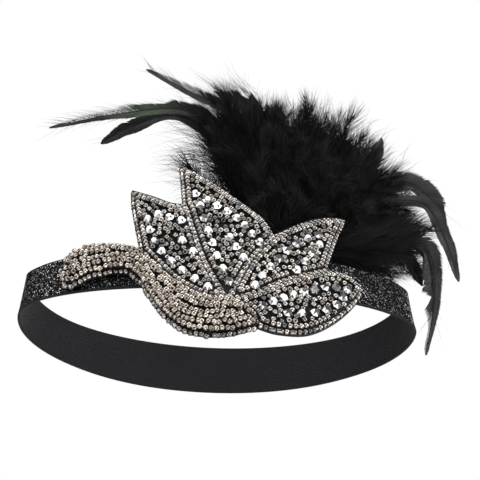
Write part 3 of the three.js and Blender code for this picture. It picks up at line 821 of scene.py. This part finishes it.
# Long cock feathers: a quill, and two rows of barbs that lie side by side as one vane.
featherRows = [
    {"width": 1.0, "late": 1.0, "power": 0.75, "angles": [95, 109, 120, 126.5], "reaches": [0.6, 0.89, 1.1, 1.33],
     "depths": [0.42, 0.33, 0.25, 0.25]},
    {"width": 1.2, "late": 1.0, "power": 0.75, "angles": [104, 121, 138, 149.5], "reaches": [0.62, 1.0, 1.27, 1.585],
     "depths": [0.62, 0.55, 0.4, 0.25]},
    {"width": 1.15, "late": 1.7, "power": 0.9, "angles": [108, 126, 138, 146.5], "reaches": [0.66, 1.05, 1.19, 1.295],
     "depths": [0.9, 0.75, 0.65, 0.6]},
    {"width": 1.6, "late": 1.0, "power": 0.6, "angles": [80, 92, 103, 112], "reaches": [0.66, 0.84, 0.95, 1.05],
     "depths": [0.9, 0.75, 0.65, 0.6]},
    {"width": 1.7, "late": 0.9, "power": 0.65, "angles": [43, 37.5, 30.5, 22], "reaches": [0.76, 1.03, 1.085, 1.09],
     "depths": [0.62, 0.35, 0.1, 0.0]},
    {"width": 1.1, "late": 1.2, "power": 0.75, "angles": [40, 29, 14, -3.5], "reaches": [0.68, 1.015, 0.98, 0.965],
     "depths": [0.42, 0.1, -0.12, -0.1]},
    {"width": 1.5, "late": 0.7, "power": 0.75, "angles": [28, 13.5, -11, -38.5], "reaches": [0.64, 0.87, 0.835, 0.915],
     "depths": [0.4, 0.16, 0.1, 0.3]},
    {"width": 0.9, "late": 1.3, "power": 0.55, "angles": [27, 16, 6, -2], "reaches": [0.6, 0.78, 0.81, 0.83],
     "depths": [0.75, 0.5, 0.42, 0.42]},
    {"width": 1.1, "late": 1.0, "power": 0.6, "angles": [44, 47, 49, 51], "reaches": [0.72, 0.94, 1.05, 1.145],
     "depths": [0.9, 0.9, 0.85, 0.8]},
]
featherLook = {"width": 7.5, "barbs": 170, "rootPhase": 0.1, "quill": 0.42, "tipTaper": 2.8,
               "barbAngle": 48, "tipFrom": 0.85, "tipTurn": 200, "barbBend": 0.35, "barbWidth": 0.52,
               "barbFlat": 0.22, "hairWidth": 0.09}
# By feather: the clefts in each half, how ragged its upper edge is, from where that edge's barbs stand
# apart, its loose hairs, and how much painted grey highlight and painted green sheen it has.
featherTouches = {"clefts": [5, 7, 2, 6, 4, 2, 6, 3, 3],
                  "ragged": [0.1, 0.2, 0.03, 0.3, 0.14, 0.03, 0.3, 0.1, 0.05],
                  "openFrom": [0.5, 0.62, 1.1, 0.7, 1.1, 1.1, 0.8, 1.1, 1.1],
                  "hairs": [80, 160, 10, 60, 6, 2, 12, 4, 6],
                  "pale": [0.12, 0.06, 0.05, 0, 0.2, 0.05, 0.05, 0.05, 1.0],
                  "gleam": [0, 1, 0, 0, 0, 0, 0, 0, 0]}
vanePattern = strandPattern(4, 4)
hairPattern = strandPattern(3, 4)
downPattern = strandPattern(3, 2)

vaneMaterial = Recipe("featherVane", Specular_IOR_Level=0.42)
# Painted sheen: green mixed into the base colour over the middle of feather 2 stands in for its iridescent sheen.
gleam = vaneMaterial.value("gleam")
tone = vaneMaterial.value("tone")
# Painted highlight: grey mixed into the base colour of quills and barbs, strongest on feathers 5 and 9.
pale = vaneMaterial.value("pale")
plain = vaneMaterial.blend(tone, (0.0008, 0.0008, 0.001), (0.009, 0.009, 0.0095))
withPaintedHighlight = vaneMaterial.blend(pale, plain, (0.15, 0.15, 0.15))
vaneMaterial.finish(Base_Color=vaneMaterial.blend(gleam, withPaintedHighlight, (0.07, 0.096, 0.056)),
                    Roughness=0.56 - tone * 0.34)


def featherFrame(stations, shares):
    spine = sweepLine(stations, shares)
    way = unit(sweepLine(stations, shares + 0.01) - sweepLine(stations, shares - 0.01))
    front = np.array([0, -1.0, 0]) - way * (way @ np.array([0, -1.0, 0]))[:, None]
    front = unit(front)
    return spine, way, np.cross(way, front), front


# Where a vane is split, the barbs before the cleft lean out and those past it lean in.
def splitVane(dice, shares, clefts):
    cuts = np.concatenate([[0], np.sort(dice.uniform(0.15, 0.97, clefts)), [1.001]])
    stretch = np.searchsorted(cuts, shares, side="right") - 1
    within = (shares - cuts[stretch]) / np.maximum(cuts[stretch + 1] - cuts[stretch], 0.05)
    return (within - 0.5) * dice.uniform(0.1, 1, clefts + 2)[stretch]


def makeFeather(number, row):
    dice = np.random.default_rng(700 + number)
    look = {label: values[number - 1] for label, values in featherTouches.items()}
    stations = fromRoot(np.array(row["angles"], float), np.array(row["reaches"]) * plume["reach"],
                        -np.array(row["depths"]) * plume["coreThickness"])
    quillLine = sweepLine(stations, np.linspace(0, 0.99, 25))
    total = lengthAlong(quillLine)[-1] * 1000
    count = featherLook["barbs"]
    shares = np.tile(np.linspace(0.03, 1, count), 2)
    hand = np.repeat([1.0, -1.0], count)
    rooted = shares - 0.05 * np.sin(np.pi * shares) ** 0.5 - 0.012
    spine, way, side, front = featherFrame(stations, np.clip(rooted, 0.01, 0.985))
    side = side * hand[:, None]
    clumps = np.interp(shares * 18 + hand * 3, np.arange(-4, 25), dice.normal(0, 1, 29))
    phase = featherLook["rootPhase"] + (1 - featherLook["rootPhase"]) * shares ** row["late"]
    blade = np.maximum(np.sin(np.pi * phase), 0) ** row["power"]
    half = featherLook["width"] * row["width"] * blade / 2 + 0.35
    teeth = np.concatenate([splitVane(dice, shares[:count], look["clefts"]) for _ in range(2)])
    pastTip = np.maximum(shares - featherLook["tipFrom"], 0)
    opening = (np.radians(featherLook["barbAngle"] - pastTip * featherLook["tipTurn"])
               + 0.04 * clumps + 0.13 * teeth)
    closing = opening - featherLook["barbBend"]
    upper = hand > 0
    ragged = np.where(upper, look["ragged"], 0.04) * clumps
    middle = np.maximum((opening + closing) / 2, 0.15)
    lengths = half / np.sin(middle) * (1 + ragged) * dice.uniform(0.94, 1.04, 2 * count)
    room = ((1.0 - rooted) * total + 0.5) * (1 + 0.08 * clumps) * dice.uniform(0.94, 1.04, 2 * count)
    lengths = np.minimum(lengths, room / (np.cos(middle) + featherLook["tipTaper"] * np.sin(middle)))
    thin = np.where(upper, np.interp(shares - look["openFrom"], [-0.16, 0.12], [1, 0.24]), 1.0)
    corners = bentStrands(vanePattern, spine, way, unit(side + front * 0.18), lengths / 1000, opening, closing,
                          featherLook["barbWidth"] / 1000 * thin, featherLook["barbFlat"], 3.0)
    # Painted green sheen on the middle of feather 2's vane.
    values = {"gleam": np.exp(-((shares - 0.6) / 0.13) ** 2) * look["gleam"] * dice.uniform(0.5, 1.0, 2 * count),
              "tone": np.clip(0.35 + 0.4 * clumps + 0.3 * teeth + dice.normal(0, 0.2, 2 * count), 0, 1),
              # Painted grey highlight, at about a third of its strength on the upper half of the vane.
              "pale": look["pale"] * np.where(upper, 0.35, 1.0) * np.clip(0.6 + 0.3 * clumps, 0, 1)}
    vane = meshOfCopies("vane", vanePattern, corners, values)
    hairs = look["hairs"]
    shares = dice.uniform(0.12, 0.97, hairs)
    spine, way, side, front = featherFrame(stations, shares)
    side = side * np.where(dice.random(hairs) < 0.75, 1.0, -1.0)[:, None]
    fuzz = bentStrands(hairPattern, spine, way, unit(side + front * dice.normal(0, 0.25, (hairs, 1))),
                       dice.uniform(7, 16, hairs) * row["width"] / 1000, dice.uniform(0.35, 0.75, hairs),
                       dice.uniform(0.0, 0.35, hairs), np.full(hairs, featherLook["hairWidth"] / 1000), 1.0)
    loose = meshOfCopies("fuzz", hairPattern, fuzz, {"gleam": np.zeros(hairs), "tone": np.full(hairs, 0.6),
                                                    "pale": np.zeros(hairs)})
    whole = bmesh.new()
    for part in (vane, loose):
        whole.from_mesh(part)
        bpy.data.meshes.remove(part)
    addQuill(whole, quillLine, featherLook["quill"] * row["width"], 0.15 + look["pale"])
    piece = bpy.data.meshes.new(f"coque_vane_{number}")
    whole.to_mesh(piece)
    whole.free()
    feather = place(f"coque_vane_{number}", piece, [vaneMaterial.material], "feathers")
    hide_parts(f"coque_feather_{number}")


# A tapered tube along a line of places, closed at both ends.
def addQuill(work, line, radius, highlightStrength):
    sides, last = 6, len(line) - 1
    pale = work.verts.layers.float["pale"]
    rings, previous = [], None
    for i, spot in enumerate(line):
        way = Vector(line[min(i + 1, last)] - line[max(i - 1, 0)]).normalized()
        across = way.cross(Vector((0, 0, 1))).normalized()
        other = way.cross(across)
        size = radius / 1000 * (1 - 0.85 * i / last)
        ring = [work.verts.new(Vector(spot) + (across * math.cos(a) + other * math.sin(a)) * size)
                for a in np.arange(sides) * 2 * math.pi / sides]
        # Painted highlight along the quill, fading to nothing at its tip.
        for corner in ring:
            corner[pale] = highlightStrength * (1 - i / last)
        edges = [work.edges.new((ring[k], ring[(k + 1) % sides])) for k in range(sides)]
        rings.append((ring, edges))
    for one, two in zip(rings, rings[1:]):
        bmesh.ops.bridge_loops(work, edges=one[1] + two[1])
    for ring, _ in (rings[0], rings[-1]):
        work.faces.new(ring)
    corners = {corner for ring, _ in rings for corner in ring}
    tube = [face for face in work.faces if face.verts[0] in corners]
    bmesh.ops.recalc_face_normals(work, faces=tube)


for number, row in enumerate(featherRows, 1):
    makeFeather(number, row)
print("feathers made")


# Fluff: a soft dark core, and thousands of barbs on curved quills that fan out from the root.
reachStops = [-10, 4, 15, 38, 56, 72, 88, 105, 118, 128, 145]
reachValues = [0.5, 0.7, 0.83, 1.08, 1.05, 1.01, 0.92, 1.01, 0.95, 0.66, 0.4]
lockRows = [
    {"count": 3, "from": 3, "to": 15, "reach": 1.0, "middleDepth": 0.12, "tipDepth": -0.3, "barbs": 400},
    {"count": 6, "from": 18, "to": 108, "reach": 0.76, "middleDepth": 0.46, "tipDepth": 0.4, "barbs": 400},
    {"count": 13, "from": 12, "to": 127, "reach": 1.02, "middleDepth": 0.55, "tipDepth": 0.4, "barbs": 330},
    {"count": 8, "from": 14, "to": 118, "reach": 0.94, "middleDepth": 0.9, "tipDepth": 0.9, "barbs": 250},
    {"count": 5, "from": 26, "to": 120, "reach": 0.8, "middleDepth": 1.1, "tipDepth": 1.3, "barbs": 250},
]
fluffLook = {"plumesPerLock": 3, "length": 20, "width": 0.14, "coreAngle": 61, "coreSpread": 61,
             "coreMiddle": 0.47, "coreHalf": 0.42, "coreDepth": 15, "coreThick": 22, "edgeAngles": (3, 118),
             "edgePlumes": 104, "edgeBarbs": 96, "edgeLength": 10, "tufts": 60, "tuftBarbs": 110, "tuftLength": 9}
wispRows = [
    {"from": 58, "to": 112, "reach": 1.03, "plumes": 30, "barbs": 24, "length": 13},
    {"from": 45, "to": 66, "reach": 1.1, "plumes": 4, "barbs": 16, "length": 22},
    {"from": 32, "to": 41, "reach": 1.17, "plumes": 12, "barbs": 90, "length": 11},
    {"from": 5, "to": 17, "reach": 1.0, "plumes": 12, "barbs": 100, "length": 13},
    {"from": 109, "to": 119, "reach": 1.16, "plumes": 10, "barbs": 80, "length": 11},
]
# Single hairs that stand out of the fluff's edge, and the angle that they point to.
hairRows = [
    {"angles": (97, 119), "reach": (0.92, 1.02), "heading": 145,
     "spread": 11, "length": (9, 19), "count": 230, "thick": 0.08},
    {"angles": (115, 121), "reach": (0.6, 1.0), "heading": 172,
     "spread": 13, "length": (14, 38), "count": 240, "thick": 0.11},
    {"angles": (126, 136), "reach": (1.0, 1.25), "heading": 182,
     "spread": 9, "length": (12, 28), "count": 90, "thick": 0.11},
    {"angles": (66, 98), "reach": (0.9, 1.0), "heading": 92,
     "spread": 16, "length": (5, 12), "count": 240, "thick": 0.08},
    {"angles": (40, 68), "reach": (0.92, 1.02), "heading": 52,
     "spread": 12, "length": (7, 17), "count": 70, "thick": 0.09},
    {"angles": (14, 38), "reach": (0.88, 0.96), "heading": 0,
     "spread": 22, "length": (4, 9), "count": 70, "thick": 0.08},
    {"angles": (-4, 14), "reach": (0.8, 1.0), "heading": -22,
     "spread": 18, "length": (6, 14), "count": 60, "thick": 0.08},
]

downMaterial = Recipe("blackDown", Specular_IOR_Level=0.12)
# Tone differs at random by plume; its light end is painted highlight, the grey of streaks where barbs catch light.
toneWithPaintedStreaks = downMaterial.value("tone")
downMaterial.finish(Base_Color=downMaterial.blend(toneWithPaintedStreaks, (0.002, 0.002, 0.002), (0.032, 0.033, 0.031)),
                    Roughness=0.75 - toneWithPaintedStreaks * 0.15)


# How far the fluff's edge is from the root at an angle.
def edgeReach(angle):
    return plume["reach"] * eased(angle, reachStops, reachValues)


def makeCore():
    work = bmesh.new()
    bmesh.ops.create_uvsphere(work, u_segments=72, v_segments=44, radius=1)
    side, front, far = cornersOf(work).T
    square = np.hypot(side, far) / np.maximum((side ** 4 + far ** 4) ** 0.25, 1e-6)
    tuft = np.sin(11 * side + 3 * far) + 0.7 * np.sin(23 * side - 5 * far + 2 * np.sin(7 * far))
    angle = fluffLook["coreAngle"] + fluffLook["coreSpread"] * side * square
    share = fluffLook["coreMiddle"] + fluffLook["coreHalf"] * far * square * (1 + 0.02 * tuft)
    depth = fluffLook["coreDepth"] - fluffLook["coreThick"] / 2 * front * (1 + 0.06 * tuft)
    moveCorners(work, fromRoot(angle, edgeReach(angle) * share, -depth))
    core = place("fluff_core", meshOf("fluff_core", work), [downMaterial.material], "fluff")
    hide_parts("fluff_plume")


def plumeBarbs(dice, stations, count, length, spread):
    shares = np.clip(dice.beta(2.0, 0.95, count), 0.08, 1) * 0.98
    spine, way, side, front = featherFrame(stations, np.clip(shares, 0.01, 0.98))
    around = dice.uniform(0, 2 * math.pi, count)
    lean = unit(side * np.cos(around)[:, None] + front * (spread * np.sin(around))[:, None])
    tipness = np.clip((shares - 0.8) / 0.2, 0, 1)
    opening = dice.uniform(0.75, 1.15, count) * (1 - 0.65 * tipness)
    closing = dice.uniform(-0.1, 0.45, count) * (1 - 0.5 * tipness)
    lengths = length * dice.uniform(0.6, 1.15, count) * (1 - 0.3 * tipness) / 1000
    return spine, way, lean, lengths, opening, closing


def makeFluff(name, groups, seed, pattern=downPattern, width=1.0):
    dice = np.random.default_rng(seed)
    parts, tones = [], []
    for stations, count, length, spread in groups:
        spine, way, lean, lengths, opening, closing = plumeBarbs(dice, stations, count, length, spread)
        parts.append(bentStrands(pattern, spine, way, lean, lengths, opening, closing,
                                 dice.uniform(0.8, 1.25, count) * width * fluffLook["width"] / 1000, 1.0))
        # Random tone by plume; the lighter tones paint highlight streaks on the black down.
        tones.append(np.clip(dice.normal(dice.uniform(0, 0.85), 0.2, count), 0, 1))
    corners = np.concatenate(parts)
    place(name, meshOfCopies(name, pattern, corners, {"tone": np.concatenate(tones)}),
          [downMaterial.material], "fluff")
    print(name, len(corners), "barbs")


def lockPlumes(row, dice):
    plumes = []
    for i in range(row["count"]):
        angle = row["from"] + (row["to"] - row["from"]) * i / (row["count"] - 1)
        sway = 5 * math.sin(2.4 * i + 7 * row["reach"])
        reach = row["reach"] * edgeReach(angle)
        for k in range(fluffLook["plumesPerLock"]):
            turn = dice.normal(0, 3.2)
            tip = reach * dice.uniform(0.8, 0.98)
            depth = dice.normal(0, 0.1)
            thick = plume["coreThickness"]
            stations = np.array([fromRoot(angle + turn * 0.4, reach * 0.1, -plume["quillDepth"]),
                                 fromRoot(angle + sway + turn, tip * 0.6, -thick * (row["middleDepth"] + depth)),
                                 fromRoot(angle + turn + dice.normal(0, 2), tip, -thick * (row["tipDepth"] + depth))])
            plumes.append((stations, row["barbs"] // (4 if angle > 118 else 1), fluffLook["length"], 0.75))
    return plumes


def wispPlumes(row, dice):
    plumes = []
    for i in range(row["plumes"]):
        share = (i + dice.uniform(-0.3, 0.3)) / (row["plumes"] - 1)
        angle = row["from"] + (row["to"] - row["from"]) * share
        tip = plume["reach"] * row["reach"] * dice.uniform(0.85, 1.0)
        depth = dice.uniform(0.25, 0.7) * plume["coreThickness"]
        stations = np.array([fromRoot(angle * 0.8 + 14, tip * 0.35, -depth),
                             fromRoot(angle * 0.95, tip * 0.7, -depth), fromRoot(angle, tip * 0.93, -depth)])
        plumes.append((stations, row["barbs"], row["length"], 0.6))
    return plumes


def edgePlumes(dice):
    plumes = []
    for angle in np.linspace(*fluffLook["edgeAngles"], fluffLook["edgePlumes"]):
        angle, turn = angle + dice.normal(0, 1), dice.normal(0, 4)
        edge = edgeReach(angle)
        depth = dice.uniform(0.15, 1.1) * plume["coreThickness"]
        stations = np.array([fromRoot(angle, edge * 0.6, -depth), fromRoot(angle + turn / 2, edge * 0.78, -depth),
                             fromRoot(angle + turn, edge * dice.uniform(0.88, 0.97), -depth)])
        plumes.append((stations, fluffLook["edgeBarbs"], fluffLook["edgeLength"], 0.8))
    return plumes


# Short plumes that curl every way over the fluff's front, each with a tone of its own, whose light end is painted
# highlight.
def tuftPlumes(dice):
    plumes = []
    for i in range(fluffLook["tufts"]):
        angle, share = dice.uniform(16, 114), dice.uniform(0.12, 1) ** 0.7 * 0.62
        reach = share * edgeReach(angle)
        heading, curl = np.radians(angle + dice.normal(0, 30)), dice.normal(0, 0.6)
        across = plume["across"] + reach * math.cos(math.radians(angle))
        height = plume["up"] + reach * math.sin(math.radians(angle))
        stations = []
        for along, depth in ((0, 0.3), (0.5, 0.02), (1, -0.1)):
            way = heading + curl * along
            length = dice.uniform(20, 30) * along
            stations.append(onPlume(across + length * math.cos(way), height + length * math.sin(way),
                                    -depth * plume["coreThickness"]))
        plumes.append((np.array(stations), fluffLook["tuftBarbs"], fluffLook["tuftLength"], 0.9))
    return plumes


def makeHairs(name, seed):
    dice = np.random.default_rng(seed)
    parts = []
    for row in hairRows:
        count = row["count"]
        angle = dice.uniform(*row["angles"], count)
        reach = edgeReach(angle) * dice.uniform(*row["reach"], count)
        depth = dice.uniform(0.2, 1.0, count) * plume["coreThickness"]
        heading = np.radians(row["heading"] + dice.normal(0, row["spread"], count))
        turn = np.radians(angle)
        across, height = plume["across"] + reach * np.cos(turn), plume["up"] + reach * np.sin(turn)
        start = onPlume(across, height, -depth)
        way = unit(onPlume(across + np.cos(heading), height + np.sin(heading), -depth) - start)
        side = unit(np.cross(way, dice.normal(0, 1, (count, 3))))
        parts.append(bentStrands(hairPattern, start, way, side, dice.uniform(*row["length"], count) / 1000,
                                 np.zeros(count), dice.uniform(0.2, 0.9, count),
                                 np.full(count, row["thick"] / 1000), 1.0))
    corners = np.concatenate(parts)
    # Random tone by hair; the lighter ones paint highlight.
    place(name, meshOfCopies(name, hairPattern, corners, {"tone": dice.uniform(0, 1, len(corners))}),
          [downMaterial.material], "fluff")


makeCore()
dice = np.random.default_rng(31)
makeFluff("fluff_front", [p for row in lockRows[:2] for p in lockPlumes(row, dice)], 5)
makeFluff("fluff_middle", [p for p in lockPlumes(lockRows[2], dice)], 6)
makeFluff("fluff_back", [p for row in lockRows[3:] for p in lockPlumes(row, dice)], 7)
makeFluff("fluff_wisps", [p for row in wispRows for p in wispPlumes(row, dice)], 8, hairPattern, 0.7)
makeFluff("fluff_edge", edgePlumes(dice), 9)
makeFluff("fluff_tufts", tuftPlumes(dice), 11)
makeHairs("fluff_hairs", 10)


# Floor, light and camera. The floor stays pale where the lamps don't reach.
studio = {"floorHeight": -0.6, "floorSize": 24.0, "floorPale": (0.42, 0.42, 0.42), "white": (1, 1, 1),
          "backdropStrength": 1.0, "roomStrength": 0.08}
floorWork = bmesh.new()
bmesh.ops.create_grid(floorWork, x_segments=4, y_segments=4, size=studio["floorSize"] / 2)
bmesh.ops.translate(floorWork, verts=floorWork.verts, vec=(0, 0, studio["floorHeight"]))
floorMesh = bpy.data.meshes.new("floor")
floorWork.to_mesh(floorMesh)
floorWork.free()
paper = Recipe("palePaper", Roughness=0.8, Emission_Strength=1.0)
viewed = paper.node("ShaderNodeLightPath", output="Is Camera Ray")
paper.finish(Base_Color=paper.blend(paper.noise(3, 2), (0.78, 0.78, 0.78), (0.84, 0.84, 0.84)),
             Emission_Color=paper.blend(viewed, (0, 0, 0), studio["floorPale"]))
floorMesh.materials.append(paper.material)
floor = bpy.data.objects.new("floor", floorMesh)
bpy.context.scene.collection.objects.link(floor)

world = bpy.data.worlds.new("studio")
bpy.context.scene.world = world
world.use_nodes = True
sky = world.node_tree.nodes["Background"]
sky.inputs["Color"].default_value = (*studio["white"], 1)
seen = world.node_tree.nodes.new("ShaderNodeLightPath").outputs["Is Camera Ray"]
strength = world.node_tree.nodes.new("ShaderNodeMapRange")
strength.inputs["To Min"].default_value = studio["roomStrength"]
strength.inputs["To Max"].default_value = studio["backdropStrength"]
world.node_tree.links.new(seen, strength.inputs["Value"])
world.node_tree.links.new(strength.outputs["Result"], sky.inputs["Strength"])
bpy.context.scene.view_settings.view_transform = "Standard"

lampRows = [
    {"name": "topLight", "place": (-0.15, -0.5, 1.1), "size": 1.5, "power": 11.5},
    {"name": "rightLight", "place": (1.0, -0.4, 0.3), "size": 1.1, "power": 8},
    {"name": "leftLight", "place": (-1.0, -0.5, 0.2), "size": 1.1, "power": 4.8},
    {"name": "rearLight", "place": (0.2, 1.0, 0.7), "size": 1.2, "power": 6},
    {"name": "lowLight", "place": (0.1, -0.35, -0.52), "size": 0.8, "power": 2.4},
]
for row in lampRows:
    light = bpy.data.lights.new(row["name"], "AREA")
    light.shape, light.size, light.energy = "DISK", row["size"], row["power"]
    lamp = bpy.data.objects.new(row["name"], light)
    lamp.location = row["place"]
    lamp.rotation_euler = (Vector((0, 0, 0.03)) - Vector(row["place"])).to_track_quat("-Z", "Y").to_euler()
    bpy.context.scene.collection.objects.link(lamp)

shot = {"azimuth": -4.14, "elevation": -26, "distance": 0.97, "target": (0.01084, 0, 0.03973), "roll": 0.695,
        "lens": 141.2, "sensor": 36, "farthest": 20}
turned, raised = math.radians(shot["azimuth"]), math.radians(shot["elevation"])
eye = Vector((math.sin(turned) * math.cos(raised), -math.cos(turned) * math.cos(raised), math.sin(raised)))
camera = bpy.data.objects.new("camera", bpy.data.cameras.new("camera"))
camera.location = eye * shot["distance"]
camera.rotation_euler = (Vector(shot["target"]) - camera.location).to_track_quat("-Z", "Y").to_euler()
camera.rotation_euler.rotate_axis("Z", math.radians(shot["roll"]))
camera.data.lens = shot["lens"]
camera.data.sensor_width = shot["sensor"]
camera.data.clip_end = shot["farthest"]
bpy.context.scene.collection.objects.link(camera)
bpy.context.scene.camera = camera
print("stage set")

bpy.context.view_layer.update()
triangles = [sum(len(face.vertices) - 2 for face in thing.data.polygons)
             for thing in bpy.context.scene.objects if thing.type == "MESH"]
print("triangles", sum(triangles), "largest piece", max(triangles))
